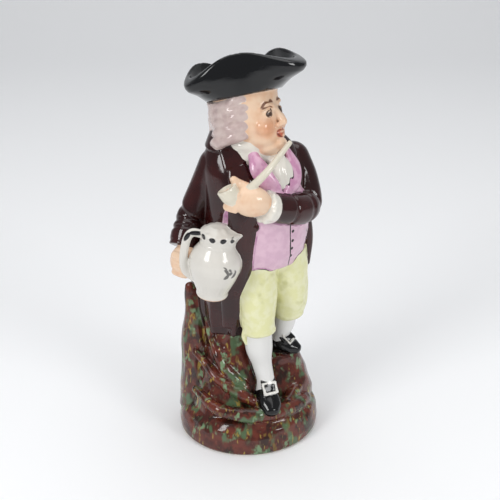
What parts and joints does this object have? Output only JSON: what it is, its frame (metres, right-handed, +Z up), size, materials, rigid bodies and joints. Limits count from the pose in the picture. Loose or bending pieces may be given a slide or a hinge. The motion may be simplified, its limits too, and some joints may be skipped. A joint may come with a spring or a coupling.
{
  "type": "toby jug",
  "caption": "Standing toby jug: a hollow glazed pottery vessel shaped as a man in a cocked hat on a rocky mound, with a pipe and a small jug.",
  "frame": {"origin": "on the ground under the middle of the jug's box", "axes": "+Z up, the man's chest facing -Y and his left hand at +X"},
  "size_m": [0.11, 0.1012, 0.2866],
  "materials": {
    "painted_glaze": "clear gloss glaze over hand-painted colours"
  },
  "bodies": {
    "root": {"toby_jug": "painted_glaze"}
  },
  "joints": []
}
